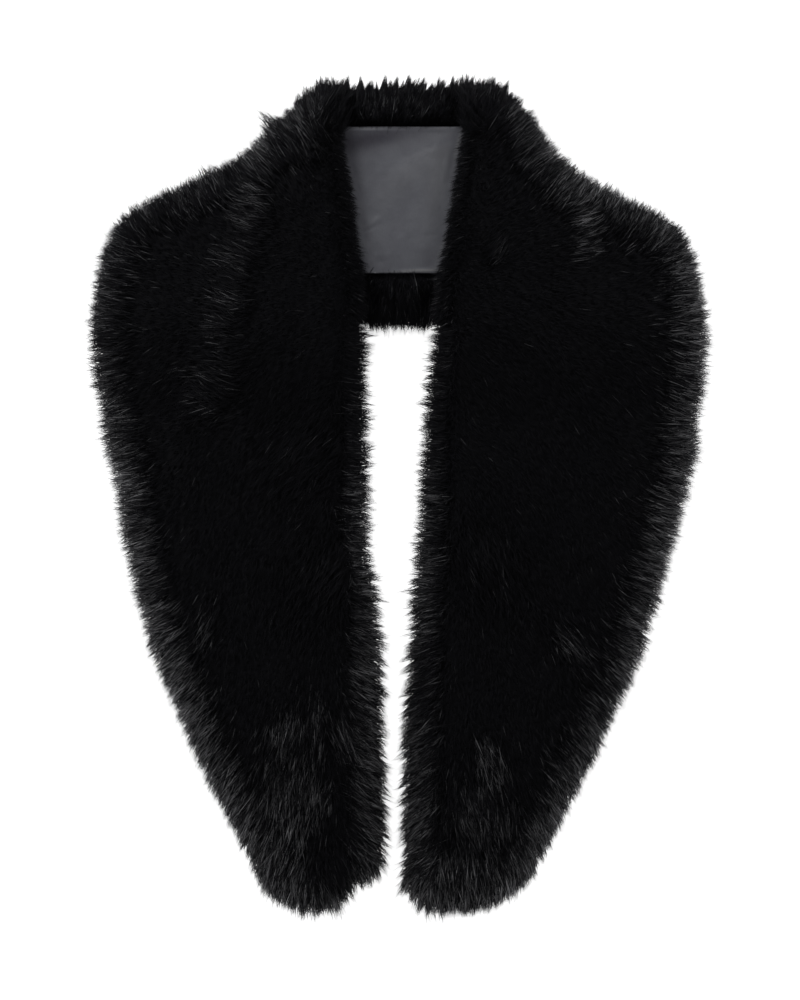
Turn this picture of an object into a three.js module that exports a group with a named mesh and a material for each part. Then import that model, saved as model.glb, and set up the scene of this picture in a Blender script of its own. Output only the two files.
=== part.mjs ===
// A long-pile fur collar wrap laid flat on a table in the shape in which it is worn.
// The back neck band lies fur down. At each shoulder it folds over, and the two fronts come down
// over it with their fur up. Between the fronts the satin lining of the band shows.
// Millimetres. X runs across the collar, Y up towards the neck, Z up from the table.

import * as THREE from 'three';

// Driving dimensions
const FRONT_PILE = 25; // depth of a front: cloth and its standing pile
const FRONT_CROWN = 2.5; // how much higher a front is along its middle
const ROUND_OVER = 21; // how far in from the edge the pile has risen to its full depth
const EDGE_LIP = 5; // depth of the pile right at the edge
const UNDERCUT = 2; // how far the pile overhangs the cloth at the edge
const BAND_DEPTH = 15.3; // depth of the back band, its pile pressed flat under it
const BAND_ROUND_UNDER = 12; // how far in the band's edge curves down to the table
const BAND_EDGE_HEIGHT = 9; // height of the band's edge above the table
const BAND = { left: -196, right: 195.5, low: 110, high: 266 }; // its ends and straight edges
const BAND_LIP = 2; // height of the upright part of that edge between the fronts
const MARGIN_ROLL = 6; // how far the fur margins stand above the lining
const ROLL_FROM = 0.12; // shares of a half turn at which that roll starts and ends
const ROLL_TO = 0.92;
const MARGIN_ROLL_EASE = 9; // over which they rise beside a front
const ROLL_CLEAR = 2; // between that roll and a front
const SEAM_GAP = 0.4; // between pieces that are sewn or lie on each other
const LINING_WALL = 1.2;
const LINING_RECESS = 1.7; // depth of its bed in the band
const LINING = { left: -70, right: 75, low: 143, high: 237.5 };
const LINING_MARGIN = 2; // of bare bed round the lining
const BED_WALL = 1.5; // width of the step down to the bed
const NARROWEST_MARGIN = 6; // of the band beyond the bed, at the ends of the bed
const LINING_PUFF = 1.8; // how far the lining bellows up where no front lies on it
const LINING_PUFF_EASE = 16; // over which it does so from each edge
const UNDER_FRONT = 30; // how far the lining reaches in under each front
const SETTLE_START = 108; // below this Y a front sinks from the band to the table
const SETTLE_END = 40;
const ROW_PITCH = 9; // along a front
const BAND_PITCH = 11; // along the band under a front
const OPEN_BAND_PITCH = 3; // and between the fronts
const LINING_PITCH = { across: 6, along: 7 };
const TUFT_REACH = { outer: 3.2, inner: 1.6 }; // from the deepest notch in an edge to its longest tuft
const TUFT_SHARE_OUT = 0.6; // share of that reach that lies outside the cut edge
const NECK_TUFT = { reach: 7, inward: 3.5, pitch: 15.5, rise: 0.75, uneven: 0.45 }; // along the neck
const LOCK_RELIEF = 4.4; // from the lowest to the highest lock of pile
const LOCK_LEAN = 2; // how far the highest lock leans down the nap
const CREASE_WIDTH = 30; // over which the neck roll falls to the shoulder
const CURVE_STEPS = 400; // for measuring along an edge
const TOLERANCE = 0.001;

const FRONT_DEPTH = BAND_DEPTH + SEAM_GAP; // height of the underside of a front on the band

// A row for each section of a front, from the top of the neck to its lower end. outer and inner are
// the two edges. crease is where the neck roll ends, as a share of the way from outer to inner, and
// drop is how much lower the pile lies outside it.
const LEFT_FRONT = [
  { outerX: -50, outerY: 265.5, innerX: -36, innerY: 266.5, crease: 0.02, drop: 0 },
  { outerX: -61, outerY: 258, innerX: -35, innerY: 261, crease: 0.02, drop: 0 },
  { outerX: -73.5, outerY: 246.5, innerX: -35, innerY: 253, crease: 0.04, drop: 1 },
  { outerX: -87.5, outerY: 231.5, innerX: -34.5, innerY: 243.5, crease: 0.07, drop: 2 },
  { outerX: -102.5, outerY: 217, innerX: -34, innerY: 233, crease: 0.12, drop: 5 },
  { outerX: -125, outerY: 206.5, innerX: -33.5, innerY: 222, crease: 0.3, drop: 8 },
  { outerX: -146, outerY: 196, innerX: -31, innerY: 210.5, crease: 0.4, drop: 9 },
  { outerX: -168.5, outerY: 185, innerX: -29, innerY: 197, crease: 0.47, drop: 9 },
  { outerX: -184, outerY: 171.5, innerX: -27, innerY: 183.5, crease: 0.5, drop: 9 },
  { outerX: -192, outerY: 151, innerX: -24.5, innerY: 164, crease: 0.5, drop: 8 },
  { outerX: -196.5, outerY: 128.5, innerX: -21, innerY: 140, crease: 0.46, drop: 7 },
  { outerX: -198.5, outerY: 104, innerX: -20, innerY: 110.5, crease: 0.42, drop: 5 },
  { outerX: -198, outerY: 78, innerX: -20.5, innerY: 80, crease: 0.4, drop: 3 },
  { outerX: -193.5, outerY: 49, innerX: -20, innerY: 49, crease: 0.4, drop: 1 },
  { outerX: -185, outerY: 10, innerX: -19.5, innerY: 10, crease: 0.4, drop: 0 },
  { outerX: -177, outerY: -32.5, innerX: -19, innerY: -32.5, crease: 0.4, drop: 0 },
  { outerX: -167.5, outerY: -75, innerX: -13, innerY: -71.5, crease: 0.4, drop: 0 },
  { outerX: -155.5, outerY: -115, innerX: -10.5, innerY: -110.5, crease: 0.4, drop: 0 },
  { outerX: -138.5, outerY: -153, innerX: -10, innerY: -147.5, crease: 0.4, drop: 0 },
  { outerX: -121.5, outerY: -188.5, innerX: -8.5, innerY: -182, crease: 0.4, drop: 0 },
  { outerX: -106.5, outerY: -219, innerX: -8.5, innerY: -214.5, crease: 0.4, drop: 0 },
  { outerX: -93.5, outerY: -241, innerX: -10, innerY: -241, crease: 0.4, drop: 0 },
];
const LEFT_TIP = { x: -54, y: -269.5 };

const RIGHT_FRONT = [
  { outerX: 62.5, outerY: 265.5, innerX: 41.5, innerY: 266.5, crease: 0.02, drop: 0 },
  { outerX: 75, outerY: 258.5, innerX: 41.5, innerY: 261, crease: 0.02, drop: 0 },
  { outerX: 84, outerY: 245.5, innerX: 41, innerY: 253, crease: 0.04, drop: 1 },
  { outerX: 95, outerY: 229, innerX: 40.5, innerY: 243.5, crease: 0.07, drop: 2 },
  { outerX: 106.5, outerY: 214.5, innerX: 39, innerY: 233, crease: 0.12, drop: 5 },
  { outerX: 127.5, outerY: 201, innerX: 37, innerY: 222, crease: 0.25, drop: 8 },
  { outerX: 148, outerY: 190, innerX: 35, innerY: 210.5, crease: 0.32, drop: 9 },
  { outerX: 168.5, outerY: 180, innerX: 33, innerY: 197, crease: 0.38, drop: 9 },
  { outerX: 181.5, outerY: 169.5, innerX: 31, innerY: 183.5, crease: 0.41, drop: 9 },
  { outerX: 190, outerY: 153, innerX: 28.5, innerY: 164, crease: 0.42, drop: 8 },
  { outerX: 195, outerY: 132, innerX: 24, innerY: 140, crease: 0.41, drop: 6 },
  { outerX: 198, outerY: 106, innerX: 21, innerY: 110.5, crease: 0.4, drop: 3 },
  { outerX: 198.5, outerY: 78, innerX: 19, innerY: 80, crease: 0.4, drop: 1 },
  { outerX: 195, outerY: 49, innerX: 16, innerY: 49, crease: 0.4, drop: 0 },
  { outerX: 190, outerY: 11, innerX: 13.5, innerY: 10, crease: 0.4, drop: 0 },
  { outerX: 177, outerY: -32.5, innerX: 11, innerY: -32.5, crease: 0.4, drop: 0 },
  { outerX: 166.5, outerY: -71.5, innerX: 8, innerY: -71.5, crease: 0.4, drop: 0 },
  { outerX: 153.5, outerY: -112.5, innerX: 6, innerY: -110.5, crease: 0.4, drop: 0 },
  { outerX: 134.5, outerY: -154, innerX: 2.5, innerY: -147.5, crease: 0.4, drop: 0 },
  { outerX: 115.5, outerY: -190.5, innerX: 2, innerY: -182, crease: 0.4, drop: 0 },
  { outerX: 101, outerY: -220.5, innerX: 2, innerY: -214.5, crease: 0.4, drop: 0 },
  { outerX: 86.5, outerY: -245, innerX: 2, innerY: -245, crease: 0.4, drop: 0 },
];
const RIGHT_TIP = { x: 36, y: -270.5 };

// Shares of the way across a front at which its pile is drawn, close together where it rounds over
const ACROSS_TOP = [0, 0.025, 0.07, 0.13, 0.2, 0.28, 0.36, 0.44, 0.52, 0.6, 0.68, 0.76, 0.83, 0.89,
  0.945, 0.98, 1];
const ACROSS_UNDERSIDE = [0.12, 0.3, 0.5, 0.7, 0.88];
// The first and last ring points on the pile that carry locks, counted in from the edges
const LOCKS_FROM = 3;
const LOCK_ROWS_FROM = 2; // and the first and last rings of the front that do
const LOCK_BLEND = 0.4; // how much of a lock carries on from the ring above
const LOWER_CREASE = 0.4; // the crease's share at the lower end, where it has run out

// The sections round the lower end of a front: degrees round it, and how much of the half width is left
// outside and inside of its middle, as a share of a round end. The left one is torn in on the inside.
const LEFT_END = [
  { turn: 15, outside: 1, inside: 0.9 },
  { turn: 27, outside: 1, inside: 0.74 },
  { turn: 40, outside: 0.99, inside: 0.63 },
  { turn: 56, outside: 0.97, inside: 0.64 },
  { turn: 70, outside: 0.92, inside: 0.7 },
  { turn: 82, outside: 0.86, inside: 0.8 },
];
const RIGHT_END = [
  { turn: 20, outside: 1, inside: 1 },
  { turn: 40, outside: 0.99, inside: 1 },
  { turn: 57, outside: 0.96, inside: 1 },
  { turn: 71, outside: 0.9, inside: 1 },
  { turn: 83, outside: 0.84, inside: 0.95 },
];

// Shares of the way across each fur margin of the band, from its edge to the lining
const ACROSS_MARGIN = [0, 0.08, 0.22, 0.42, 0.64, 0.84];
const ACROSS_LINING_BED = [0, 0.03, 0.25, 0.5, 0.75, 0.97, 1];
const ACROSS_BAND_UNDERSIDE = [0.04, 0.1, 0.5, 0.9, 0.96];

// The largest soft creases in the satin: a point on each, its direction in degrees, and its size
const LINING_CREASES = [
  { x: -22, y: 226, turn: 8, reach: 26, width: 5, height: 0.9 },
  { x: 8, y: 205, turn: -38, reach: 34, width: 9, height: 0.7 },
  { x: -14, y: 172, turn: 35, reach: 22, width: 6, height: -0.6 },
  { x: 26, y: 215, turn: 80, reach: 22, width: 5, height: 0.5 },
  { x: 6, y: 152, turn: 4, reach: 26, width: 5, height: 0.6 },
];

const fur = new THREE.MeshStandardMaterial({ color: 0x0b0b0d, roughness: 0.85, metalness: 0 });
const satin = new THREE.MeshStandardMaterial({ color: 0x4b4c52, roughness: 0.42, metalness: 0 });

const clamp = THREE.MathUtils.clamp;
const smooth = (value, low, high) => THREE.MathUtils.smoothstep(value, low, high);
const mix = THREE.MathUtils.lerp;

// A repeatable number from 0 to 1 for a pair of whole numbers
function scatter(i, j) {
  const wave = Math.sin(i * 12.9898 + j * 78.233) * 43758.5453;
  return wave - Math.floor(wave);
}

// How far the pile reaches out of the cut edge at one ring
function tuftReach(reach, ring, side) {
  return reach * (scatter(ring, side) - 1 + TUFT_SHARE_OUT);
}

// The same along the neck, where each tuft leans over: it rises slowly to the right and falls steeply
function neckTuft(x) {
  const tuft = Math.floor(x / NECK_TUFT.pitch);
  const share = x / NECK_TUFT.pitch - tuft;
  const height = NECK_TUFT.reach * (1 - NECK_TUFT.uneven * scatter(tuft, tuft));
  const climb = share < NECK_TUFT.rise ? share / NECK_TUFT.rise : (1 - share) / (1 - NECK_TUFT.rise);
  return height * climb - NECK_TUFT.inward;
}

function within(value, low, high) {
  return value > low - TOLERANCE && value < high + TOLERANCE;
}

// Height of a quarter round, from 0 at the edge to 1 at full depth
function quarterRound(share) {
  const left = 1 - clamp(share, 0, 1);
  return Math.sqrt(1 - left * left);
}

// Distance from a point to the nearest side of a closed outline
function distanceToOutline(x, y, outline) {
  let nearest = Infinity;
  for (let k = 0; k < outline.length; k += 1) {
    const a = outline[k];
    const b = outline[(k + 1) % outline.length];
    const sideX = b.x - a.x;
    const sideY = b.y - a.y;
    const length2 = sideX * sideX + sideY * sideY || 1;
    const along = clamp(((x - a.x) * sideX + (y - a.y) * sideY) / length2, 0, 1);
    nearest = Math.min(nearest, Math.hypot(x - a.x - along * sideX, y - a.y - along * sideY));
  }
  return nearest;
}

// A closed solid through rings that all have the same number of points, with flat ends
function solidThroughRings(rings) {
  const perRing = rings[0].length;
  const positions = rings.flat().flatMap((point) => [point.x, point.y, point.z]);
  const faces = [];
  for (let r = 0; r + 1 < rings.length; r += 1) {
    for (let k = 0; k < perRing; k += 1) {
      const next = (k + 1) % perRing;
      const a = r * perRing + k;
      const b = r * perRing + next;
      faces.push(a, b, a + perRing, b, b + perRing, a + perRing);
    }
  }
  for (const end of [0, rings.length - 1]) {
    const centre = positions.length / 3;
    const ring = rings[end];
    for (const axis of ['x', 'y', 'z']) {
      positions.push(ring.reduce((sum, point) => sum + point[axis], 0) / perRing);
    }
    for (let k = 0; k < perRing; k += 1) {
      const a = end * perRing + k;
      const b = end * perRing + ((k + 1) % perRing);
      faces.push(centre, ...(end === 0 ? [b, a] : [a, b]));
    }
  }
  return facingOut(positions, faces);
}

// Turns every face over if the solid came out inside out
function facingOut(positions, faces) {
  const at = (index) => new THREE.Vector3().fromArray(positions, index * 3);
  let volume = 0;
  for (let f = 0; f < faces.length; f += 3) {
    volume += at(faces[f]).dot(at(faces[f + 1]).cross(at(faces[f + 2])));
  }
  const ordered = volume > 0 ? faces : faces.slice().reverse();
  const geometry = new THREE.BufferGeometry();
  geometry.setAttribute('position', new THREE.Float32BufferAttribute(positions, 3));
  geometry.setIndex(ordered);
  geometry.computeVertexNormals();
  return geometry;
}

// A smooth curve through one pair of columns of a front's table
function curveOf(table, columnX, columnY) {
  const points = table.map((row) => new THREE.Vector3(row[columnX], row[columnY], 0));
  return new THREE.CatmullRomCurve3(points, false, 'centripetal');
}

// Evenly spaced sections of a front, with the rounded lower end added
function sectionsOf(table, tip, end) {
  const outer = curveOf(table, 'outerX', 'outerY');
  const inner = curveOf(table, 'innerX', 'innerY');
  const crease = curveOf(table, 'crease', 'drop');
  const travelled = [0];
  for (let k = 1; k <= CURVE_STEPS; k += 1) {
    const at = (curve, step) => curve.getPoint(step / CURVE_STEPS);
    const step = (curve) => at(curve, k).distanceTo(at(curve, k - 1));
    travelled.push(travelled[k - 1] + (step(outer) + step(inner)) / 2);
  }
  const whole = travelled[CURVE_STEPS];
  const count = Math.round(whole / ROW_PITCH);
  const sections = [];
  for (let row = 0; row <= count; row += 1) {
    const wanted = (whole * row) / count;
    const share = travelled.findIndex((length) => length >= wanted - TOLERANCE) / CURVE_STEPS;
    const a = outer.getPoint(share);
    const b = inner.getPoint(share);
    const c = crease.getPoint(share);
    sections.push({ outer: a, inner: b, crease: c.x, drop: c.y });
  }
  const last = sections[sections.length - 1];
  const middle = last.outer.clone().add(last.inner).multiplyScalar(0.5);
  const reach = new THREE.Vector3(tip.x, tip.y, 0).sub(middle);
  for (const { turn, outside, inside } of end) {
    const angle = THREE.MathUtils.degToRad(turn);
    const swing = (edge, share) => edge.clone().sub(middle).multiplyScalar(share * Math.cos(angle))
      .addScaledVector(reach, Math.sin(angle)).add(middle);
    sections.push({
      outer: swing(last.outer, outside),
      inner: swing(last.inner, inside),
      crease: LOWER_CREASE,
      drop: 0,
    });
  }
  return sections;
}

// Height of the underside of a front: on the band above, and on the table below
function undersideHeight(y) {
  return FRONT_DEPTH * smooth(y, SETTLE_END, SETTLE_START);
}

// A section with its two edges moved out or in to where the pile ends
function withTufts(section, row) {
  const outward = section.outer.clone().sub(section.inner).normalize();
  const outer = section.outer.clone().addScaledVector(outward, tuftReach(TUFT_REACH.outer, row, 0));
  const inner = section.inner.clone().addScaledVector(outward, -tuftReach(TUFT_REACH.inner, row, 1));
  return { ...section, outer, inner };
}

// One front as rings of points, each from its outer edge under to the inner edge and back over the pile
function frontGeometry(plainSections) {
  const sections = plainSections.map(withTufts);
  const outline = [
    ...sections.map((section) => section.outer),
    ...sections.map((section) => section.inner).reverse(),
  ];
  const rings = sections.map((section, row) => {
    const across = section.inner.clone().sub(section.outer);
    const width = across.length();
    const tucked = Math.min(UNDERCUT / width, ACROSS_UNDERSIDE[0] / 2);
    const place = (share) => section.outer.clone().addScaledVector(across, share);
    const ring = [tucked, ...ACROSS_UNDERSIDE, 1 - tucked].map((share) => {
      const point = place(share);
      return point.setZ(undersideHeight(point.y));
    });
    ACROSS_TOP.slice().reverse().forEach((share, back) => {
      const column = ACROSS_TOP.length - 1 - back;
      const point = place(share);
      const depthIn = distanceToOutline(point.x, point.y, outline);
      const beyondCrease = (section.crease - share) * width;
      const fall = section.drop * smooth(beyondCrease, -CREASE_WIDTH / 2, CREASE_WIDTH / 2);
      const full = FRONT_PILE + FRONT_CROWN * Math.sin(Math.PI * share) - fall;
      let height = EDGE_LIP + (full - EDGE_LIP) * quarterRound(depthIn / ROUND_OVER);
      const locked = column >= LOCKS_FROM && column < ACROSS_TOP.length - LOCKS_FROM
        && row >= LOCK_ROWS_FROM && row < sections.length - LOCK_ROWS_FROM;
      if (locked) {
        const raised = mix(scatter(row, column), scatter(row - 1, column), LOCK_BLEND);
        height += LOCK_RELIEF * (raised - 0.5);
        point.y -= LOCK_LEAN * raised;
      }
      ring.push(new THREE.Vector3(point.x, point.y, undersideHeight(point.y) + height));
    });
    return ring;
  });
  return solidThroughRings(rings);
}

// Y of the folded edge at a given X, read off the sections of a front
function foldHeight(sections, x) {
  for (let k = 0; k + 1 < sections.length; k += 1) {
    const a = sections[k].outer;
    const b = sections[k + 1].outer;
    if ((x - a.x) * (x - b.x) <= 0) return mix(a.y, b.y, (x - a.x) / (b.x - a.x || 1));
  }
  return BAND.high;
}

// X of the inner edge of a front at a given Y
function innerEdge(sections, y) {
  for (let k = 0; k + 1 < sections.length; k += 1) {
    const a = sections[k].inner;
    const b = sections[k + 1].inner;
    if ((y - a.y) * (y - b.y) <= 0) return mix(a.x, b.x, (y - a.y) / (b.y - a.y || 1));
  }
  return sections[0].inner.x;
}

// How open the band is at a point: 0 under a front, rising to 1 between the fronts
function openness(x, y, left, right) {
  const clear = Math.min(x - innerEdge(left, y), innerEdge(right, y) - x) - ROLL_CLEAR;
  return smooth(clear, 0, MARGIN_ROLL_EASE);
}

// The X of each ring of the band, with a ring at each end of the lining's bed and just outside it
function bandColumns(from, to, bedLeft, bedRight) {
  const stops = [
    { x: from, pitch: BAND_PITCH },
    { x: bedLeft - BED_WALL, pitch: BED_WALL },
    { x: bedLeft, pitch: BAND_PITCH },
    { x: LINING.left + UNDER_FRONT, pitch: OPEN_BAND_PITCH },
    { x: LINING.right - UNDER_FRONT, pitch: BAND_PITCH },
    { x: bedRight, pitch: BED_WALL },
    { x: bedRight + BED_WALL, pitch: BAND_PITCH },
    { x: to, pitch: BAND_PITCH },
  ];
  const columns = [from];
  for (let k = 0; k + 1 < stops.length; k += 1) {
    const length = stops[k + 1].x - stops[k].x;
    const count = Math.max(1, Math.round(length / stops[k].pitch));
    for (let n = 1; n <= count; n += 1) columns.push(stops[k].x + (length * n) / count);
  }
  return columns;
}

// The back neck band, fur down, with its fur margins rolled up over the edges of the lining
function bandGeometry(left, right) {
  const bedLeft = LINING.left - LINING_MARGIN;
  const bedRight = LINING.right + LINING_MARGIN;
  const bedLow = LINING.low - LINING_MARGIN;
  const bedHigh = LINING.high + LINING_MARGIN;
  const top = (x) => {
    if (x > left[0].outer.x && x < right[0].outer.x) return BAND.high;
    return Math.min(BAND.high, foldHeight(x < 0 ? left : right, x));
  };
  const columns = bandColumns(BAND.left, BAND.right, bedLeft, bedRight);
  const outline = [
    ...columns.map((x) => new THREE.Vector3(x, top(x), 0)),
    ...columns.map((x) => new THREE.Vector3(x, BAND.low, 0)).reverse(),
  ];
  const surface = (x, y) => {
    const inBed = within(x, bedLeft, bedRight) && within(y, bedLow, bedHigh);
    if (inBed) return BAND_DEPTH - LINING_RECESS;
    const depthIn = distanceToOutline(x, y, outline);
    const open = openness(x, y, left, right);
    const margin = y > (bedLow + bedHigh) / 2
      ? (BAND.high - y) / (BAND.high - bedHigh)
      : (y - BAND.low) / (bedLow - BAND.low);
    const roll = MARGIN_ROLL * Math.sin(Math.PI * mix(ROLL_FROM, ROLL_TO, clamp(margin, 0, 1)));
    const crest = BAND_DEPTH + open * roll;
    const rim = mix(BAND_DEPTH, BAND_EDGE_HEIGHT + BAND_LIP, open);
    return rim + (crest - rim) * quarterRound(depthIn / BAND_ROUND_UNDER);
  };
  const bottom = (x, y) => {
    const depthIn = distanceToOutline(x, y, outline);
    return BAND_EDGE_HEIGHT * (1 - quarterRound(depthIn / BAND_ROUND_UNDER));
  };
  const rings = columns.map((x, column) => {
    const high = top(x);
    const tall = high > bedHigh + NARROWEST_MARGIN;
    const stretch = (high - BAND.low) / (BAND.high - BAND.low);
    const fit = (y) => (tall ? y : mix(BAND.low, y, stretch));
    const edge = tall ? high : BAND.high;
    const ys = [
      ...ACROSS_MARGIN.map((share) => fit(mix(BAND.low, bedLow, share))),
      ...ACROSS_LINING_BED.map((share) => fit(mix(bedLow, bedHigh, share))),
      ...ACROSS_MARGIN.slice().reverse().map((share) => fit(mix(edge, bedHigh, share))),
    ];
    const ring = ys.map((y, k) => {
      const atLow = k === 0;
      const atHigh = k === ys.length - 1;
      const open = openness(x, y, left, right);
      const onMargin = k < ACROSS_MARGIN.length || k >= ys.length - ACROSS_MARGIN.length;
      const lock = !atLow && !atHigh && onMargin ? open * LOCK_RELIEF * (scatter(column, k) - 0.5) : 0;
      let tuft = 0;
      if (atLow) tuft = -tuftReach(TUFT_REACH.inner, column, k);
      if (atHigh) tuft = mix(stretch * tuftReach(TUFT_REACH.outer, column, k), neckTuft(x), open);
      return new THREE.Vector3(x, y + tuft, surface(x, y) + lock);
    });
    const under = ACROSS_BAND_UNDERSIDE.map((share) => {
      const y = mix(high, BAND.low, share);
      return new THREE.Vector3(x, y, bottom(x, y));
    });
    const rimPoint = (y) => new THREE.Vector3(x, y, BAND_EDGE_HEIGHT);
    return [...ring, rimPoint(high), ...under, rimPoint(BAND.low)];
  });
  return solidThroughRings(rings);
}

// How far the satin rises off its bed at a point
function liningRise(x, y, left, right) {
  const open = openness(x, y, left, right);
  const edgeIn = Math.min(y - LINING.low, LINING.high - y);
  let rise = LINING_PUFF * smooth(edgeIn, 0, LINING_PUFF_EASE);
  for (const crease of LINING_CREASES) {
    const turn = THREE.MathUtils.degToRad(crease.turn);
    const dx = x - crease.x;
    const dy = y - crease.y;
    const along = dx * Math.cos(turn) + dy * Math.sin(turn);
    const aside = -dx * Math.sin(turn) + dy * Math.cos(turn);
    rise += crease.height * Math.exp(-((along / crease.reach) ** 2) - (aside / crease.width) ** 2);
  }
  return open * Math.max(rise, 0);
}

// The satin lining: one thin wall on the band, its hidden ends tucked under the fronts
function liningGeometry(left, right) {
  const columns = Math.round((LINING.right - LINING.left) / LINING_PITCH.across);
  const rows = Math.round((LINING.high - LINING.low) / LINING_PITCH.along);
  const seat = BAND_DEPTH - LINING_RECESS + SEAM_GAP;
  const rings = Array.from({ length: columns + 1 }, (_, column) => {
    const x = mix(LINING.left, LINING.right, column / columns);
    const under = [];
    const over = [];
    for (let k = 0; k <= rows; k += 1) {
      const y = mix(LINING.low, LINING.high, k / rows);
      const rise = liningRise(x, y, left, right);
      under.push(new THREE.Vector3(x, y, seat + rise));
      over.unshift(new THREE.Vector3(x, y, seat + LINING_WALL + rise));
    }
    return [...under, ...over];
  });
  return solidThroughRings(rings);
}

function named(name, geometry, material) {
  const mesh = new THREE.Mesh(geometry, material);
  mesh.name = name;
  return mesh;
}

const leftSections = sectionsOf(LEFT_FRONT, LEFT_TIP, LEFT_END);
const rightSections = sectionsOf(RIGHT_FRONT, RIGHT_TIP, RIGHT_END);

const collar = new THREE.Group();
collar.add(
  named('fur_front_left', frontGeometry(leftSections), fur),
  named('fur_front_right', frontGeometry(rightSections), fur),
  named('fur_back_neck', bandGeometry(leftSections, rightSections), fur),
  named('lining_back_neck', liningGeometry(leftSections, rightSections), satin),
);

// The origin is under the middle of the collar's box, on the table
const box = new THREE.Box3().setFromObject(collar);
const middle = box.getCenter(new THREE.Vector3());
collar.position.set(-middle.x, -middle.y, -box.min.z);

export default collar;
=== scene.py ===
"""Looks for a black fur collar wrap with a satin lining, laid flat and seen from straight above.

The collar lies on Z = 0, with X across it and Y up towards the neck. Lengths are in metres.
"""

import bmesh
import bpy
import numpy as np
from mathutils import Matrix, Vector, noise
from mathutils.bvhtree import BVHTree
from mathutils.kdtree import KDTree

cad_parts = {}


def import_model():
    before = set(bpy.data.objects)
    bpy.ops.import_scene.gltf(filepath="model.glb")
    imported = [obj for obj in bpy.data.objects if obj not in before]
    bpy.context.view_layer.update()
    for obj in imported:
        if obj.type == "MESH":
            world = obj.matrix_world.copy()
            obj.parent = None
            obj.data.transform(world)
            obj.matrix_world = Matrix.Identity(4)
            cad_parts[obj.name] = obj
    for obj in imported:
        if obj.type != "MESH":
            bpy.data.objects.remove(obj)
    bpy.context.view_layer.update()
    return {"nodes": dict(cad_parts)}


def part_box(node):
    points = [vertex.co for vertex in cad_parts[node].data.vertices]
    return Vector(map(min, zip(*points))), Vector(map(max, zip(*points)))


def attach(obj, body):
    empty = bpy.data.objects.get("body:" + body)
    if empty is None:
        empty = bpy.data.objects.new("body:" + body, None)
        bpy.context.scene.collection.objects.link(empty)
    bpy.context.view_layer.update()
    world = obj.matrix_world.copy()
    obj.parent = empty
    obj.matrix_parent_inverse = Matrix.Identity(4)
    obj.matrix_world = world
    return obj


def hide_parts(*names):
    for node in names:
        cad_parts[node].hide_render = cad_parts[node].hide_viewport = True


MM = 0.001
FRONTS = {"fur_front_left": -1, "fur_front_right": 1}
BACK = "fur_back_neck"
LINING = "lining_back_neck"

# Camera: where the middle of the picture falls, how high the camera hangs, and the picture's height
PICTURE_CENTRE = (0.0007, -0.0028)
PICTURE_HEIGHT = 0.650
CAMERA_HEIGHT = 1.9
SENSOR = 36

# Direction of the nap down a front: Y in mm, and degrees up from straight outwards
NAP_TURNS = [
    (-280, -90),
    (-150, -84),
    (-60, -74),
    (0, -62),
    (50, -42),
    (100, -18),
    (150, 4),
    (190, 28),
    (215, 48),
    (240, 68),
    (272, 84),
]
# How strongly the pile at the edges follows the nap and not the way out: Y in mm, and how much at an
# outer and at an inner edge
RIM_FOLLOWS = [
    (-280, 3.0, 0.9),
    (-200, 1.1, 0.6),
    (-120, 0.45, 0.5),
    (-60, 0.15, 0.2),
    (0, 0.0, 0.0),
]
NAP_WANDER = 0.45  # how far the nap wanders, and over what distance
NAP_WANDER_SIZE = 0.030
NOISE_SEED = 1  # not 0, or else the noise starts from the clock
WANDER_SEEDS = {"front": 3.0, "mottle": 5.0, "band": 9.0}
# How far the pile leans over along the neck: X in mm, and the lean to the right
NECK_LEANS = [(-70, -0.04), (-35, 0.08), (10, 0.36), (60, 0.55)]
STANDING = 2.0  # how upright the pile is inside a panel, and where it lies over
LYING = 0.22

UPRIGHT = 0.85  # a panel's edge is where its surface is at least this upright
OUTER_FROM = -0.25  # an edge of a front is an outer one if it faces away from the middle more than this
BY_LINING = (108, 238)  # between these Y in mm the inner edges of the fronts lie on the lining
NECK_FROM = (236, 254)  # over these Y in mm the pile of a front turns up along the neck
NECK_SPREAD = (0.7, 0.5)  # how strongly it also points out there, at an outer and at an inner edge
NECK_GATHER = 0.8  # and how much more it gathers into tufts

# How far in from an outer and an inner edge of a front the pile points outwards, lies over, grows
# thicker, makes the fringe, and has a faint painted highlight
RIM_WIDTHS = {
    "turn": (0.026, 0.021),
    "lie": (0.016, 0.009),
    "thick": (0.010, 0.007),
    "fringe": (0.006, 0.0035),
    "halo": (0.034, 0.018),
}
# How many times as wide the rim of an inner edge is from the tips up: Y in mm, and the number
INNER_SPREAD = [(-200, 2.0), (-150, 1.7), (-90, 1.0), (-40, 1.0), (20, 0.62)]
HALO = (0.11, 0.055)  # how light the faint painted highlight is that reaches further in from an outer and an inner edge
LINING_HALO = 0.06  # and beside the lining
MOTTLE = 1.1  # by how much the painted highlight differs from place to place, and over what distance
MOTTLE_SIZE = 0.011
MOTTLE_RANGE = (0.4, 1.6)
COVER = {"inside": 0.7, "rim": 1.5}  # how thickly the pile of a front grows, and how much more at its rim
PATCH_THICK = 0.5  # how thick it is in a light patch, against a rim
FRINGE = 0.8  # how far the fringe stands out
INNER_GATHER = 0.6  # how much more it gathers into tufts at an inner edge
# How far the pile is drawn back beside the lining: Y in mm, and mm on the left and on the right
LINING_TUCK = [(108, -0.3, -1.4), (150, -0.1, -1.0), (190, 0.1, 0.4), (225, 0.2, 0.2), (238, 0.2, 0.6)]
LINING_EASE = 0.018  # over which the pile comes upright beside the lining
LINING_NAP = 0.5  # how strongly it leans down along the lining
LINING_TRIM = 0.3  # by how much of its length it is shorter there
UNDERNEATH = {"front": -0.35, "back": -0.8}  # no pile grows where the surface faces down more than this
LOOK_UP = {"from": 0.0005, "reach": 0.05}  # how far above a vertex a panel that covers it is looked for

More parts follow.
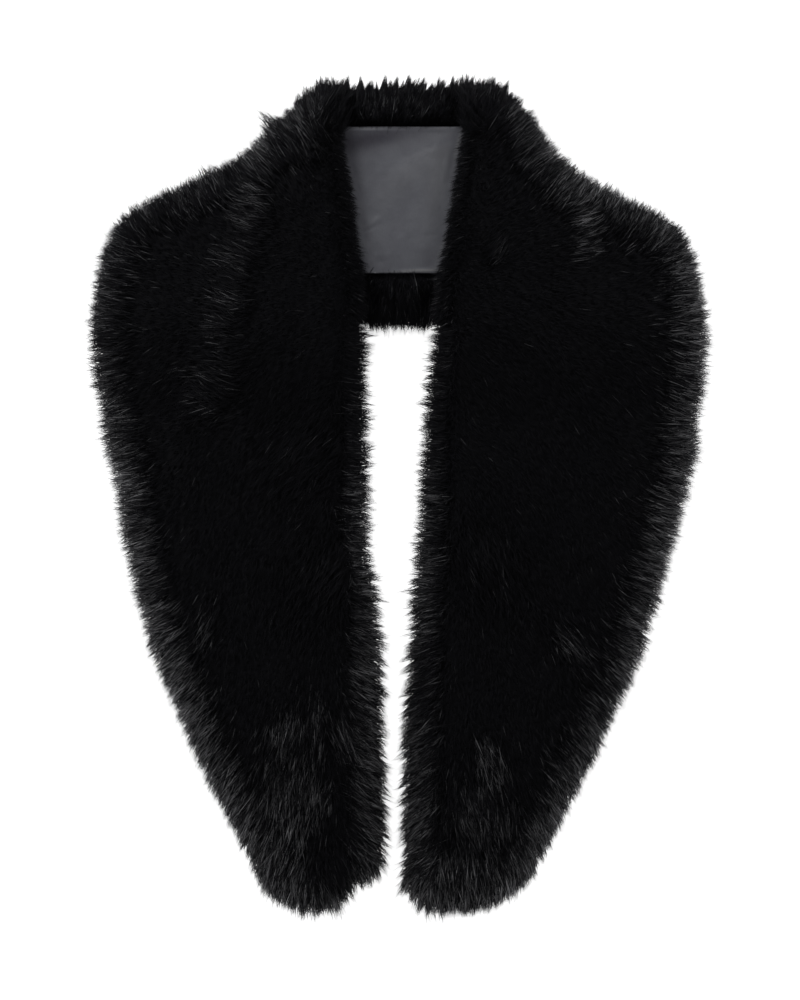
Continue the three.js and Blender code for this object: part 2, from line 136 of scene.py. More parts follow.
# The band's pile. What has no length given is a share or a number of times
BAND = {
    "seen": 0.34,  # half the breadth that the fronts leave open, against the lining's
    "bare": 3.7,  # how far in mm round the lining nothing grows
    "upright": 6,  # how far in mm from the lining it stands up
    "long": 20,  # how far in mm from the lining it has its whole length
    "shortest": 0.12,
    "edge": 0.007,  # how far in its edge reaches, in metres
    "hidden rim": 0.005,  # how far in it grows on an edge that lies under a front, in metres
    "hidden trim": 0.8,
    "hidden cover": 1.2,
    "cover": 2.2,
    "edge cover": 1.5,
    "wander": 0.6,
    "lie": 0.75,
    "gather": 1.9,
    "loose": 0.6,
    "light": (0.09, 0.06),  # the share of strands painted shining, above the lining and below it
    "fringe": (0.3, 1.0, 0.6),  # above the lining, below it, and at a hidden edge
}

# The painted highlight of the lying pile at the outer edges of the left (-1) and the right front: Y in mm,
# the share of strands painted shining, and how far in from the edge in mm
RIM_LIGHT = {
    -1: [
        (-280, 0.95, 13),
        (-230, 0.92, 12.5),
        (-180, 0.70, 10.5),
        (-80, 0.62, 10.5),
        (-30, 0.50, 10.5),
        (20, 0.44, 9.5),
        (78, 0.21, 6),
        (130, 0.13, 4.5),
        (170, 0.07, 5),
        (205, 0.06, 5),
        (240, 0.10, 9),
        (272, 0.04, 8),
    ],
    1: [
        (-280, 0.80, 10),
        (-215, 0.64, 8),
        (-180, 0.58, 8),
        (-130, 0.44, 7),
        (-80, 0.56, 8.5),
        (-30, 0.50, 9.5),
        (20, 0.46, 11),
        (80, 0.42, 15),
        (136, 0.50, 12),
        (180, 0.34, 9),
        (205, 0.34, 9),
        (240, 0.18, 6),
        (272, 0.08, 5),
    ],
}
# And the painted highlight at the inner edges: Y in mm, the share on the left and on the right front, and
# how far in from the edge in mm it has faded to a third
INNER_LIGHT = [
    (-280, 0.50, 0.90, 10),
    (-235, 0.58, 0.74, 10),
    (-180, 0.66, 0.44, 9),
    (-130, 0.70, 0.18, 7.5),
    (-80, 0.75, 0.28, 5.5),
    (-30, 0.42, 0.28, 5.5),
    (23, 0.10, 0.08, 5.5),
    (60, 0.03, 0.03, 5.5),
    (130, 0.0, 0.0, 5.5),
]

# Places away from the edges where the pile lies over and has a painted highlight: x and y in mm, reach
# and width in mm along and across a patch that is turned by turn degrees, the share of strands painted
# shining, and the way the pile lies there in degrees from +X
LIGHT_PATCHES = [
    {"x": -66, "y": 238, "reach": 26, "width": 18, "turn": 55, "light": 0.22, "nap": 110},
    {"x": -94, "y": 220, "reach": 26, "width": 16, "turn": 55, "light": 0.29, "nap": 130},
    {"x": -101, "y": 190, "reach": 26, "width": 12, "turn": 85, "light": 0.28, "nap": 165},
    {"x": -106, "y": 158, "reach": 24, "width": 12, "turn": 72, "light": 0.22, "nap": 160},
    {"x": -118, "y": 118, "reach": 26, "width": 13, "turn": 70, "light": 0.16, "nap": 155},
    {"x": -125, "y": 72, "reach": 28, "width": 20, "turn": 80, "light": 0.12, "nap": 150},
    {"x": -127, "y": -90, "reach": 18, "width": 7, "turn": 75, "light": 0.28, "nap": 250},
    {"x": -52, "y": -155, "reach": 22, "width": 7, "turn": 90, "light": 0.34, "nap": 268},
    {"x": -74, "y": -166, "reach": 24, "width": 18, "turn": 70, "light": 0.30, "nap": 255},
    {"x": -72, "y": -205, "reach": 34, "width": 28, "turn": 80, "light": 0.38, "nap": 262},
    {"x": -84, "y": -248, "reach": 24, "width": 24, "turn": 0, "light": 0.60, "nap": 260},
    {"x": -30, "y": -165, "reach": 30, "width": 12, "turn": 110, "light": 0.16, "nap": 295},
    {"x": -70, "y": 20, "reach": 30, "width": 26, "turn": 60, "light": 0.04, "nap": 230},
    {"x": -50, "y": -60, "reach": 40, "width": 26, "turn": 60, "light": 0.04, "nap": 240},
    {"x": 118, "y": 206, "reach": 16, "width": 9, "turn": 100, "light": 0.46, "nap": 20},
    {"x": 124, "y": 180, "reach": 20, "width": 7.5, "turn": 105, "light": 0.40, "nap": 12},
    {"x": 124, "y": 158, "reach": 12, "width": 7, "turn": 120, "light": 0.32, "nap": 5},
    {"x": 66, "y": 160, "reach": 10, "width": 6, "turn": 90, "light": 0.16, "nap": 60},
    {"x": 60, "y": -176, "reach": 17, "width": 8, "turn": 115, "light": 0.50, "nap": 292},
    {"x": 121, "y": -104, "reach": 24, "width": 13, "turn": 130, "light": 0.20, "nap": 308},
    {"x": 60, "y": -50, "reach": 34, "width": 24, "turn": 120, "light": 0.04, "nap": 290},
    {"x": 56, "y": -215, "reach": 30, "width": 28, "turn": 100, "light": 0.20, "nap": 285},
    {"x": 42, "y": -254, "reach": 34, "width": 18, "turn": 0, "light": 0.60, "nap": 270},
]

# Places where the painted highlight is dimmed: the same columns, with the share of it that is lost there
DARK_PATCHES = [
    {"x": -36, "y": -250, "reach": 24, "width": 13, "turn": 105, "dim": 0.85},
    {"x": -38, "y": -212, "reach": 24, "width": 7, "turn": 95, "dim": 0.6},
]

# Loose tufts that stand out of the outline or draw back from it: where, how wide in mm, and how many
# times as far as the fringe
LOOSE_TUFTS = [
    {"x": -81, "y": 238, "width": 4.5, "out": 3.2},
    {"x": 195, "y": 21, "width": 2.5, "out": 1.8},
    {"x": -127, "y": 208, "width": 4, "out": 1.0},
    {"x": -33, "y": -262, "width": 4, "out": 1.0},
    {"x": -41, "y": -268, "width": 4, "out": 1.4},
    {"x": -58, "y": -266, "width": 8, "out": 0.9},
    {"x": -31, "y": -252, "width": 4, "out": -1.6},
    {"x": -76, "y": 250, "width": 9, "out": -2.2},
    {"x": -38, "y": 269, "width": 8, "out": -1.6},
    {"x": 50, "y": 270, "width": 12, "out": -1.0},
    {"x": 80, "y": 258, "width": 9, "out": -2.4},
    {"x": 20, "y": -268, "width": 8, "out": 0.9},
]

# The two coats of fur and what their strands are like, by the names of the inputs that take it; Shade
# scales the painted highlight of their strands
COATS = {
    "undercoat": {
        "Length": 0.017,
        "Width": 0.00054,
        "Stray": 0.36,
        "Clump": 0.30,
        "Clump size": 0.0055,
        "Lift": -0.0006,
        "Shade": 0.25,
    },
    "topcoat": {
        "Length": 0.026,
        "Width": 0.00042,
        "Stray": 0.27,
        "Clump": 0.36,
        "Clump size": 0.0075,
        "Lift": 0.0012,
        "Shade": 1.0,
    },
}
COAT_INPUTS = {
    "NodeSocketObject": ["Strand"],
    "NodeSocketMaterial": ["Material"],
    "NodeSocketFloat": ["Density", "Length", "Width", "Stray", "Clump", "Clump size", "Lift", "Shade"],
    "NodeSocketInt": ["Seed"],
}
STRANDS = {"fur_front_left": 31000, "fur_front_right": 31000, "fur_back_neck": 15000}  # in each coat
SEEDS = {"scatter": 11, "length": 12, "tips": 13, "shine": 14, "width": 15, "glint": 16, "fringe": 17}
STRAND_BEND = 3.0  # how far a strand bows out in its middle, in strand widths
STRAND_WAIST = 0.62  # where along it is widest
LENGTHS = (0.7, 1.25)  # shortest and longest strand against its coat's length
WIDTHS = (0.6, 1.3)
CELL_REACH = 0.003  # by how much the tufts differ in reach
TIP_SCATTER = 0.002  # and the strands of one tuft
PULL_SHAPE = (1, 1, 0.3)  # how far a tuft's strands come together along X, Y and Z
FRINGE_CORE = 0.0018  # how far every strand of the fringe stands out, and the longest more
FRINGE_REACH = 0.0050
FRINGE_CURVE = 4.0  # the higher, the fewer the long ones
PEAK_HEIGHT = 0.012  # how much the middle of a neck tuft stands above its sides, per cell
PEAK_SHARE = 0.42
PEAK_UNEVEN = 0.003
# Strands that shine are painted lighter, a painted highlight in their colour: how many and how light
STRAY_SHINE = 0.008  # share of strands painted shining where no light is given
TUFT_SHINE = (0.6, 0.8)  # least share of them in a tuft, and how much more in the lightest
SHINE_RAMP = (0.28, 0.0, 0.50)  # the light at which most shine, and their share without light and there
GLINT = {"least": 0.08, "curve": 1.6}  # how much the shining strands differ
STRENGTH = {"base": 0.30, "by light": 1.75}
SPECKLE = 0.008  # how light the strands are that don't shine, at most
TABLE_EASE = 0.002  # height below which strands are pressed flatter by the table
BAKE_COLUMNS = 64  # by its tone, a strand's UV lies in one of this many columns

# The body of cloth and matted fur inside the coats: how far it is drawn in, how fine its mesh is, and how
# far its underside is raised
BODY_INSET = {"fur_front_left": 0.0040, "fur_front_right": 0.0040, "fur_back_neck": 0.0022}
BODY_GRAIN = 0.0045
BODY_FLOAT = 0.0003

# Creases in the satin: a point on each in mm, its direction in degrees, its size and height in mm
LINING_CREASES = [
    {"x": -20, "y": 235.8, "turn": 0, "reach": 20, "width": 0.9, "height": 0.7},
    {"x": 22, "y": 235.8, "turn": 1, "reach": 16, "width": 0.8, "height": 0.35},
    {"x": 6, "y": 206, "turn": 40, "reach": 30, "width": 9, "height": 0.8},
    {"x": -6, "y": 191, "turn": 40, "reach": 24, "width": 5, "height": -0.4},
    {"x": 12, "y": 222, "turn": 22, "reach": 14, "width": 3.5, "height": -0.3},
    {"x": -19, "y": 172, "turn": 25, "reach": 5, "width": 1.3, "height": -0.5},
    {"x": -16, "y": 176, "turn": 40, "reach": 8, "width": 2, "height": 0.4},
    {"x": -12, "y": 151, "turn": 20, "reach": 3, "width": 2.5, "height": -0.6},
    {"x": 20, "y": 168, "turn": 0, "reach": 4, "width": 1.6, "height": -0.4},
    {"x": 12, "y": 145.4, "turn": 2, "reach": 12, "width": 0.8, "height": 0.6},
    {"x": 31, "y": 214, "turn": 78, "reach": 14, "width": 2.2, "height": 0.35},
    {"x": -28, "y": 203, "turn": 104, "reach": 16, "width": 2.5, "height": -0.4},
    {"x": 2, "y": 165, "turn": 60, "reach": 14, "width": 4, "height": 0.4},
]
# Painted shade and painted highlights on the satin, where its colour is darker or lighter: the same
# columns, with how much lighter it is
LINING_LIGHT_AND_SHADE = [
    {"x": -20, "y": 228.5, "turn": 8, "reach": 25, "width": 7.5, "light": -0.85},
    {"x": -2, "y": 235, "turn": 0, "reach": 34, "width": 7, "light": -0.35},
    {"x": -29, "y": 210, "turn": 100, "reach": 22, "width": 5, "light": -0.45},
    {"x": -22, "y": 175, "turn": 100, "reach": 14, "width": 2.5, "light": -0.35},
    {"x": 6, "y": 206, "turn": 40, "reach": 32, "width": 8, "light": 0.06},
    {"x": 26, "y": 205, "turn": 80, "reach": 34, "width": 8, "light": 0.08},
    {"x": -20, "y": 236.2, "turn": 0, "reach": 20, "width": 0.9, "light": 0.55},
    {"x": 12, "y": 145, "turn": 2, "reach": 14, "width": 0.7, "light": 0.5},
    {"x": -12, "y": 152, "turn": 20, "reach": 4, "width": 2.5, "light": -0.2},
    {"x": 38.5, "y": 228, "turn": 78, "reach": 10, "width": 1.4, "light": 0.22},
    {"x": 28, "y": 160, "turn": 70, "reach": 12, "width": 1.4, "light": 0.12},
]
LINING_GRAIN = 6  # how many times each facet of the lining is cut between these X in mm, where it shows
LINING_SHOWN = (-40, 46)
LINING_SMOOTHING = {"factor": 0.5, "iterations": 150}

# Colours in linear light, each with its alpha
COLOURS = {
    # the dark strands, darker towards the root: painted shade deep in the pile
    "dark root": (0.0044, 0.0044, 0.0054, 1),
    "dark tip": (0.0066, 0.0066, 0.0082, 1),
    # the strands that shine: a painted highlight, lightest at their tips
    "shining root": (0.012, 0.012, 0.014, 1),
    "shining tip": (0.36, 0.36, 0.375, 1),
    "matted low": (0.0030, 0.0030, 0.0038, 1),
    "matted high": (0.0054, 0.0054, 0.0068, 1),
    "satin": (0.078, 0.0795, 0.094, 1),
    "light satin": (0.095, 0.098, 0.113, 1),
    "worn satin": (0.052, 0.053, 0.064, 1),
    # painted shade on the satin, and then its painted highlight
    "shaded satin": (0.026, 0.0245, 0.034, 1),
    "satin highlight": (0.32, 0.32, 0.31, 1),
    "table": (0.6, 0.6, 0.6, 1),
    "white": (1, 1, 1, 1),
}

TABLE = {"reach": 6.0, "drop": 0.0004, "roughness": 0.9, "glow": 0.92}
ROOM_LIGHT = 0.35
SOFTBOXES = {
    "top softbox": {"place": (-0.5, 1.4, 1.2), "size": (1.4, 0.8), "power": 14},
    "left strip": {"place": (-1.5, -0.1, 0.7), "size": (0.5, 1.6), "power": 7},
    "right strip": {"place": (1.5, 0.1, 0.7), "size": (0.5, 1.6), "power": 7},
}


class Graph:
    """A node tree with one method that adds a node of any kind."""

    def __init__(self, tree):
        self.tree = tree

    def node(self, kind, settings=None, sockets=None):
        made = self.tree.nodes.new(kind)
        for name, value in (settings or {}).items():
            setattr(made, name, value)
        for key, value in (sockets or {}).items():
            self.feed(made.inputs[key], value)
        return made

    def feed(self, socket, value):
        if isinstance(value, Wire):
            self.tree.links.new(value.socket, socket)
        elif isinstance(value, bpy.types.NodeSocket):
            self.tree.links.new(value, socket)
        else:
            socket.default_value = value

    def number(self, kind, settings=None, sockets=None, output=0):
        return Number(self, self.node(kind, settings, sockets).outputs[output])

    def vector(self, kind, settings=None, sockets=None, output=0):
        return Arrow(self, self.node(kind, settings, sockets).outputs[output])

    def mix_colours(self, factor, first, second):
        sockets = {0: factor, 6: first, 7: second}
        return Wire(self, self.node("ShaderNodeMix", {"data_type": "RGBA"}, sockets).outputs[2])


class Wire:
    """What comes out of a node's socket."""

    def __init__(self, graph, socket):
        self.graph = graph
        self.socket = socket


class Number(Wire):
    """A number from a node, with Python's operators."""

    def _math(self, operation, *values, clamp=False):
        settings = {"operation": operation, "use_clamp": clamp}
        return self.graph.number("ShaderNodeMath", settings, dict(enumerate(values)))

    def __add__(self, other):
        return self._math("ADD", self, other)

    def __radd__(self, other):
        return self._math("ADD", other, self)

    def __sub__(self, other):
        return self._math("SUBTRACT", self, other)

    def __rsub__(self, other):
        return self._math("SUBTRACT", other, self)

    def __mul__(self, other):
        return self._math("MULTIPLY", self, other)

    def __rmul__(self, other):
        return self._math("MULTIPLY", other, self)

    def __pow__(self, other):
        return self._math("POWER", self, other)

    def clamped(self):
        return self._math("ADD", self, 0.0, clamp=True)

    def below(self, other):
        """1 where the number is less than the other, and 0 elsewhere."""
        return self._math("LESS_THAN", self, other)

    def between(self, low, high, start=0.0, end=1.0):
        """Rises smoothly from start to end as the number goes from low to high."""
        settings = {"interpolation_type": "SMOOTHSTEP"}
        sockets = {"Value": self, 1: low, 2: high, 3: start, 4: end}
        return self.graph.number("ShaderNodeMapRange", settings, sockets)


class Arrow(Wire):
    """A vector from a node."""

    def _math(self, operation, sockets, output=0):
        kind = "ShaderNodeVectorMath"
        return self.graph.vector(kind, {"operation": operation}, sockets, output)

    def __add__(self, other):
        return self._math("ADD", {0: self, 1: other})

    def __sub__(self, other):
        return self._math("SUBTRACT", {0: self, 1: other})

    def __mul__(self, scale):
        return self._math("SCALE", {0: self, "Scale": scale})

    def times(self, other):
        return self._math("MULTIPLY", {0: self, 1: other})

    def unit(self):
        return self._math("NORMALIZE", {0: self})

    def length(self):
        node = self.graph.node("ShaderNodeVectorMath", {"operation": "LENGTH"}, {0: self})
        return Number(self.graph, node.outputs["Value"])


def plain_copy(name, source, subdivide=0):
    """A new object with a merged copy of a CAD node's mesh."""
    mesh = source.data.copy()
    mesh.name = name
    work = bmesh.new()
    work.from_mesh(mesh)
    bmesh.ops.remove_doubles(work, verts=work.verts, dist=1e-6)
    if subdivide:
        bmesh.ops.subdivide_edges(work, edges=work.edges, cuts=subdivide, use_grid_fill=True)
    bmesh.ops.recalc_face_normals(work, faces=work.faces)
    work.to_mesh(mesh)
    work.free()
    mesh.materials.clear()
    mesh.shade_smooth()
    made = bpy.data.objects.new(name, mesh)
    bpy.context.scene.collection.objects.link(made)
    return made


def settle(obj):
    """Replaces an object's mesh with what its modifiers make of it."""
    graph = bpy.context.evaluated_depsgraph_get()
    mesh = bpy.data.meshes.new_from_object(obj.evaluated_get(graph))
    mesh.name = obj.name
    obj.modifiers.clear()
    old = obj.data
    obj.data = mesh
    bpy.data.meshes.remove(old)
    return obj


def corners(mesh):
    places = np.zeros(len(mesh.vertices) * 3)
    mesh.vertices.foreach_get("co", places)
    return places.reshape(-1, 3)


def normals(mesh):
    found = np.zeros(len(mesh.vertices) * 3)
    mesh.vertex_normals.foreach_get("vector", found)
    return found.reshape(-1, 3)


def remesh(obj, grain):
    modifier = obj.modifiers.new("grain", "REMESH")
    modifier.mode = "VOXEL"
    modifier.voxel_size = grain
    return settle(obj)


def fur_body(name, source):
    """The matted inside of a fur panel: its solid drawn in on every side but the one it rests on."""
    inset = BODY_INSET[source.name]
    body = remesh(plain_copy(name, source), BODY_GRAIN)
    inward = corners(body.data) - normals(body.data) * inset
    inward[:, 2] -= inset - BODY_FLOAT
    body.data.vertices.foreach_set("co", inward.ravel())
    body.data.update()
    remesh(body, BODY_GRAIN)
    body.data.shade_smooth()
    return body


def keep_vectors(mesh, name, values):
    layer = mesh.attributes.new(name, "FLOAT_VECTOR", "POINT")
    layer.data.foreach_set("vector", np.asarray(values, np.float32).ravel())


def keep_numbers(mesh, name, values):
    layer = mesh.attributes.new(name, "FLOAT", "POINT")
    layer.data.foreach_set("value", np.asarray(values, np.float32).ravel())


def rim_of(places, outward):
    """How far each vertex is in plan from the upright edge of its panel, and the way out there."""
    upright = np.hypot(outward[:, 0], outward[:, 1]) > UPRIGHT
    tree = KDTree(int(upright.sum()))
    for k in np.flatnonzero(upright):
        tree.insert((places[k, 0], places[k, 1], 0.0), int(k))
    tree.balance()
    found = [tree.find((p[0], p[1], 0.0)) for p in places]
    away = np.array([f[2] for f in found])
    edge = np.array([f[1] for f in found])
    way = outward[edge] * (1, 1, 0)
    return away, unit(way)


def covered(places, others):
    """True for each vertex that has another panel just above it."""
    trees = [BVHTree.FromPolygons(corners(o.data).tolist(), [list(p.vertices) for p in o.data.polygons])
             for o in others]
    up = Vector((0, 0, 1))
    start = up * LOOK_UP["from"]
    reach = LOOK_UP["reach"]
    return np.array([
        any(tree.ray_cast(Vector(p) + start, up, reach)[0] is not None for tree in trees)
        for p in places
    ])


def wander(places, seed, size=NAP_WANDER_SIZE):
    """Two slowly varying numbers from -1 to 1 for each place."""
    found = [noise.noise_vector(Vector(p) / size + Vector((seed, 0, 0))) for p in places]
    return np.array([(v.x, v.y) for v in found])


def unit(vectors):
    return vectors / np.maximum(np.linalg.norm(vectors, axis=1, keepdims=True), 1e-9)


def blend(values, towards, share):
    return values + (towards - values) * share[:, None]


def blob(places, spot, reach, width):
    """How far each vertex is inside an oval spot, from 1 at its middle to 0."""
    turn = np.radians(spot.get("turn", 0))
    dx = places[:, 0] / MM - spot["x"]
    dy = places[:, 1] / MM - spot["y"]
    along = (dx * np.cos(turn) + dy * np.sin(turn)) / reach
    aside = (dy * np.cos(turn) - dx * np.sin(turn)) / width
    return np.exp(-along ** 2 - aside ** 2)


def heading(degrees):
    turn = np.radians(degrees)
    return np.stack([np.cos(turn), np.sin(turn), 0 * turn], -1)


def read(table, at, column=1):
    """A column of a table, read at each of the places that its first column gives."""
    columns = list(zip(*table))
    return np.interp(at, columns[0], columns[column])


def pick(where, first, second):
    """One vector for each vertex: the first where it holds, or else the second."""
    return np.where(where[:, None], first, second)


def neck_way(places):
    """The way the pile points along the neck."""
    lean = read(NECK_LEANS, places[:, 0] / MM)
    return unit(np.stack([lean, 1 + 0 * lean, 0 * lean], -1))


class FrontEdges:
    """Where the vertices of a front are against its edges, the lining and the neck."""

    def __init__(self, places, outward, side):
        self.side = side
        self.height = places[:, 1] / MM
        self.away, self.way = rim_of(places, outward)
        self.outside = self.way[:, 0] * side > OUTER_FROM
        low, high = BY_LINING
        self.above_opening = ~self.outside & (self.height > low)
        self.by_lining = self.above_opening & (self.height < high)
        self.at_junction = ~self.outside & (self.height >= high)
        self.at_neck = np.interp(self.height, NECK_FROM, (0.0, 1.0))

    def rim(self, kind):
        """1 at an edge, and less and less further in."""
        outer_width, inner_width = RIM_WIDTHS[kind]
        spread = read(INNER_SPREAD, self.height)
        if kind == "turn":
            inner_width = inner_width * np.minimum(spread, 1)
        elif kind != "fringe":
            inner_width = inner_width * spread
        width = np.where(self.outside, outer_width, inner_width)
        if kind in ("lie", "turn"):
            width = np.where(self.by_lining, LINING_EASE, width)
        return np.exp(-(self.away / width) ** 2)


def front_nap(places, edges):
    """The way the pile of a front points: down along it, out at its edges and up along the neck."""
    flow = heading(read(NAP_TURNS, edges.height)) * (edges.side, 1, 1)
    nap = flow.copy()
    nap[:, :2] += NAP_WANDER * wander(places, WANDER_SEEDS["front"] * edges.side)
    nap = blend(nap, neck_way(places), edges.at_neck)
    outer, inner = (read(RIM_FOLLOWS, edges.height, column) for column in (1, 2))
    follows = np.where(edges.outside, outer, inner)
    edge_nap = unit(edges.way + flow * follows[:, None])
    edge_nap = pick(edges.by_lining, np.array((0, -LINING_NAP, 0)), edge_nap)
    up_neck = pick(edges.outside, neck_way(places), np.array((0, 1, 0)))
    neck_nap = unit(pick(edges.outside, *NECK_SPREAD) * edges.way + up_neck)
    edge_nap = blend(edge_nap, neck_nap, np.maximum(edges.at_neck, edges.at_junction))
    return blend(unit(nap), edge_nap, edges.rim("turn"))


def rim_light(edges):
    """The painted highlight of the pile near the edges of a front."""
    table = RIM_LIGHT[edges.side]
    depth = edges.away / MM
    outer = read(table, edges.height) * np.exp(-(depth / read(table, edges.height, 2)) ** 2)
    fade = np.exp(-depth / read(INNER_LIGHT, edges.height, 3))
    inner = read(INNER_LIGHT, edges.height, 1 if edges.side < 0 else 2) * fade
    glow = np.where(edges.outside, *HALO) * (1 - edges.at_neck) * ~edges.by_lining
    glow = glow + LINING_HALO * edges.by_lining
    return np.where(edges.outside, outer, inner) + glow * edges.rim("halo")


def mottled(light, places):
    """The same painted highlight, uneven from place to place."""
    uneven = 1 + MOTTLE * wander(places, WANDER_SEEDS["mottle"], MOTTLE_SIZE)[:, 0]
    return light * np.clip(uneven, *MOTTLE_RANGE)


def front_tufts(places, edges):
    """How far the pile of a front stands out of the outline, and how it gathers into tufts."""
    fringe = edges.rim("fringe") * FRINGE * ~edges.by_lining
    fringe = fringe + edges.at_junction * edges.rim("lie")
    inner_tufts = edges.rim("fringe") * ~edges.outside * ~edges.by_lining
    gather = 1 + NECK_GATHER * edges.at_neck + INNER_GATHER * inner_tufts
    for tuft in LOOSE_TUFTS:
        share = blob(places, tuft, tuft["width"], tuft["width"])
        fringe = fringe + tuft["out"] * share
        gather = gather + share * (tuft["out"] > 0)
    return fringe, gather


def front_growth(places, outward, side):
    """How the pile of a front grows: its nap, and where it lies, is painted shining, is thick and stands
    out.
    """
    edges = FrontEdges(places, outward, side)
    nap = front_nap(places, edges)
    light = rim_light(edges)
    lie = edges.rim("lie") * ~edges.by_lining
    thick = edges.rim("thick")
    for patch in LIGHT_PATCHES:
        share = blob(places, patch, patch["reach"], patch["width"])
        nap = blend(nap, heading(patch["nap"]), share * (1 - edges.rim("lie")))
        light = np.maximum(light, patch["light"] * share)
        lie = np.maximum(lie, share)
        thick = np.maximum(thick, PATCH_THICK * share)
    for patch in DARK_PATCHES:
        light = light * (1 - patch["dim"] * blob(places, patch, patch["reach"], patch["width"]))
    fringe, gather = front_tufts(places, edges)
    tuck = read(LINING_TUCK, edges.height, 1 if side < 0 else 2) * MM
    return {
        "nap": nap,
        "light": mottled(light, places),
        "lie": lie,
        "trim": np.where(edges.by_lining, 1 - LINING_TRIM * edges.rim("fringe"), 1.0),
        "tuck": tuck * edges.above_opening * edges.rim("lie"),
        "gather": gather,
        "fringe": fringe,
        "peak": edges.at_neck,
        "cover": COVER["inside"] + COVER["rim"] * thick * (1 + edges.at_neck),
    }


def back_growth(places, outward, under):
    """How the pile of the band grows: up along the neck, down below the lining, out at hidden edges."""
    height = places[:, 1] / MM
    low, high = (corner.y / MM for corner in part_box(LINING))
    left, right = (corner.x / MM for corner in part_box(LINING))
    away, edge_way = rim_of(places, outward)
    across = places[:, 0] / MM
    hidden = under | (np.abs(across - (left + right) / 2) > BAND["seen"] * (right - left))
    above = height > (low + high) / 2
    from_lining = np.maximum(np.maximum(height - high, low - height), 0)
    beside = np.exp(-(from_lining / BAND["upright"]) ** 2)
    at_edge = np.exp(-(away / BAND["edge"]) ** 2)
    nap = pick(above, neck_way(places), np.array((0.0, -1.0, 0.0)))
    nap[:, 0] += BAND["wander"] * NAP_WANDER * wander(places, WANDER_SEEDS["band"])[:, 0]
    nap = blend(nap, np.zeros(3), beside)
    hidden_cover = np.where(away < BAND["hidden rim"], BAND["hidden cover"], 0.0)
    shown_cover = BAND["cover"] * (1 + BAND["edge cover"] * at_edge)
    shown_cover = np.where(from_lining < BAND["bare"], 0.0, shown_cover)
    trim = np.clip(from_lining / BAND["long"], BAND["shortest"], 1.0)
    above_fringe, below_fringe, hidden_fringe = BAND["fringe"]
    shown_fringe = np.where(above, above_fringe, below_fringe)
    neck_edge = above & ~hidden
    return {
        "nap": pick(hidden, edge_way, nap),
        "light": np.where(above, *BAND["light"]),
        "lie": np.where(hidden, 1.0, BAND["lie"] * (1 - beside)),
        "trim": np.where(hidden, BAND["hidden trim"], trim),
        "tuck": 0 * height,
        "gather": np.where(neck_edge, BAND["gather"] * (1 - beside), 1.0 - BAND["loose"] * beside),
        "fringe": at_edge * np.where(hidden, hidden_fringe, shown_fringe),
        "peak": np.where(neck_edge, at_edge, 0.0),
        "cover": np.where(hidden, hidden_cover, shown_cover),
    }


def scalp(name, source, hidden_by, side):
    """A copy of a fur panel whose vertices say how the pile grows there."""
    made = plain_copy(name, source, subdivide=1)
    places = corners(made.data)
    outward = normals(made.data)
    if side:
        growth = front_growth(places, outward, side)
    else:
        growth = back_growth(places, outward, covered(places, hidden_by))
    drawn_in = places - outward * growth.pop("tuck")[:, None]
    made.data.vertices.foreach_set("co", drawn_in.ravel())
    made.data.update()
    underneath = outward[:, 2] < UNDERNEATH["front" if side else "back"]
    growth["cover"] = np.where(underneath, 0.0, growth["cover"])
    growth["stand"] = STANDING + (LYING - STANDING) * growth.pop("lie")
    keep_vectors(made.data, "nap", growth.pop("nap"))
    keep_vectors(made.data, "up", outward)
    for kind, values in growth.items():
        keep_numbers(made.data, kind, values)
    return made


def strand():
    """One closed strand of fur along Z, 1 long and 1 wide, pointed at both ends and bowed out along X."""
    ring = [(0.5 * np.cos(a) + STRAND_BEND, 0.5 * np.sin(a), STRAND_WAIST)
            for a in np.radians([60, 180, 300])]
    points = [(0, 0, 0), *ring, (0, 0, 1)]
    faces = [(0, 2, 1), (0, 3, 2), (0, 1, 3), (4, 1, 2), (4, 2, 3), (4, 3, 1)]
    mesh = bpy.data.meshes.new("strand")
    mesh.from_pydata(points, [], faces)
    along = [p[2] for p in points]
    keep_numbers(mesh, "along", along)
    across = [0.5, 0.0, 0.5, 1.0, 0.5]
    layer = mesh.uv_layers.new(name="OFBake")
    for loop in mesh.loops:
        layer.data[loop.index].uv = (across[loop.vertex_index], along[loop.vertex_index])
    made = bpy.data.objects.new("strand", mesh)
    bpy.context.scene.collection.objects.link(made)
    return made


class CoatGraph(Graph):
    """The nodes of a coat, with its inputs and with what its scalp says of the pile."""

    def __init__(self, tree):
        super().__init__(tree)
        self.given = self.node("NodeGroupInput").outputs

    def value(self, name):
        return Number(self, self.given[name])

    def stored_number(self, name):
        kind = "GeometryNodeInputNamedAttribute"
        return self.number(kind, {"data_type": "FLOAT"}, {"Name": name})

    def stored_vector(self, name):
        kind = "GeometryNodeInputNamedAttribute"
        return self.vector(kind, {"data_type": "FLOAT_VECTOR"}, {"Name": name})

    def store(self, geometry, name, kind, domain, wire):
        settings = {"data_type": kind, "domain": domain}
        sockets = {"Geometry": geometry, "Name": name, "Value": wire}
        return self.node("GeometryNodeStoreNamedAttribute", settings, sockets).outputs[0]

    def chance(self, low, high, purpose):
        """A random number for each strand."""
        sockets = {2: low, 3: high, "Seed": self.value("Seed") + SEEDS[purpose]}
        return self.number("FunctionNodeRandomValue", {"data_type": "FLOAT"}, sockets, 1)

    def scatter(self):
        """A random vector for each strand."""
        sockets = {0: (-1, -1, -1), 1: (1, 1, 1), "Seed": self.value("Seed") + SEEDS["scatter"]}
        return self.vector("FunctionNodeRandomValue", {"data_type": "FLOAT_VECTOR"}, sockets)


class Tufts:
    """The tufts that strands gather into: where each has its middle, and a number for each."""

    def __init__(self, graph, place):
        sockets = {"Vector": place, "Scale": graph.value("Clump size") ** -1.0}
        cells = graph.node("ShaderNodeTexVoronoi", {"feature": "F1"}, sockets)
        self.centre = Arrow(graph, cells.outputs["Position"])
        self.distance = Number(graph, cells.outputs["Distance"])
        self.tone = Number(graph, cells.outputs["Color"])


